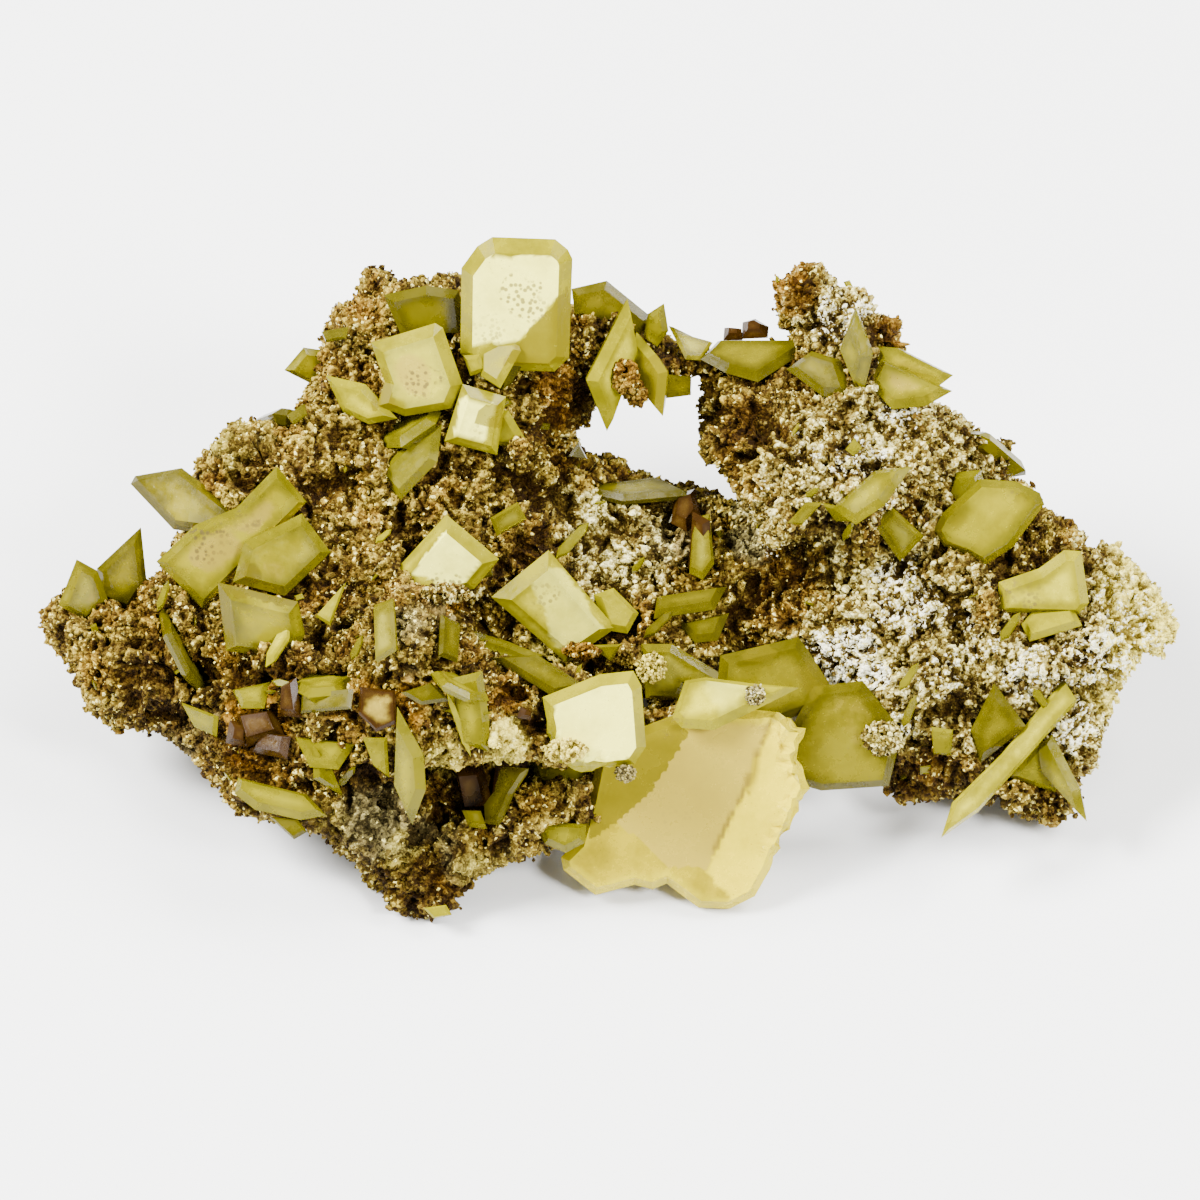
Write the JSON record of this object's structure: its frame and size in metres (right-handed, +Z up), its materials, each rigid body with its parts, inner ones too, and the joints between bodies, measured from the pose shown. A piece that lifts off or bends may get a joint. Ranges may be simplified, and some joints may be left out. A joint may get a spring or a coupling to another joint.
{
  "type": "wulfenite specimen",
  "caption": "Crusted plate of brown limonite rock with a natural window through it, overgrown with flat, square, translucent yellow wulfenite crystals.",
  "frame": {"origin": "on the surface that the specimen rests on, under the middle of its box", "axes": "+X to the right and along the longest extent, +Y away from the side with the crystals, +Z up"},
  "size_m": [0.0992, 0.0554, 0.0426],
  "materials": {
    "rock": "rough, crusted",
    "crystal": "glossy, translucent",
    "brown_crystal": "glossy, translucent"
  },
  "bodies": {
    "root": {"arm_blade": "crystal", "arm_pale_plate": "crystal", "arm_triangle_plate": "crystal", "bridge_plate": "crystal", "bridge_rear_plate": "crystal", "bridge_tip_plate": "crystal", "brown_blade_middle": "brown_crystal", "brown_crystal_cave": "brown_crystal", "brown_crystal_left": "brown_crystal", "centre_bright_plate": "crystal", "centre_square_plate": "crystal", "front_tall_leaf": "crystal", "giant_leaf_plate": "crystal", "giant_plate": "crystal", "giant_rear_plate": "crystal", "knob_left_plate": "crystal", "knob_lozenge": "crystal", "knob_rear_plate": "crystal", "knob_right_plate": "crystal", "left_dark_edged_plate": "crystal", "left_large_plate": "crystal", "left_low_plate": "crystal", "left_rear_plate": "crystal", "lip_lens_plate": "crystal", "matrix": "rock", "middle_fan_plate": "crystal", "pale_shield_plate": "crystal", "rear_corner_plate": "crystal", "rear_left_plate": "crystal", "rear_low_plate": "crystal", "rear_middle_plate": "crystal", "rear_right_plate": "crystal", "ridge_blade": "crystal", "ridge_crest_plate": "crystal", "ridge_front_plate": "crystal", "ridge_leaf_long": "crystal", "ridge_left_plate": "crystal", "ridge_low_plate": "crystal", "right_corner_leaf": "crystal", "right_cross_plate": "crystal", "right_large_plate": "crystal", "right_long_blade": "crystal", "right_pale_plate": "crystal", "right_spear_plate": "crystal", "right_square_plate": "crystal", "rim_plate": "crystal", "step_plate": "crystal", "top_plate": "crystal", "top_rear_plate": "crystal", "under_shield_plate": "crystal", "upper_lower_plate": "crystal", "upper_notched_plate": "crystal", "upper_square_plate": "crystal", "valley_blade_plate": "crystal", "valley_dark_lower_plate": "crystal", "valley_dark_plate": "crystal", "window_left_lozenge": "crystal"}
  },
  "joints": []
}
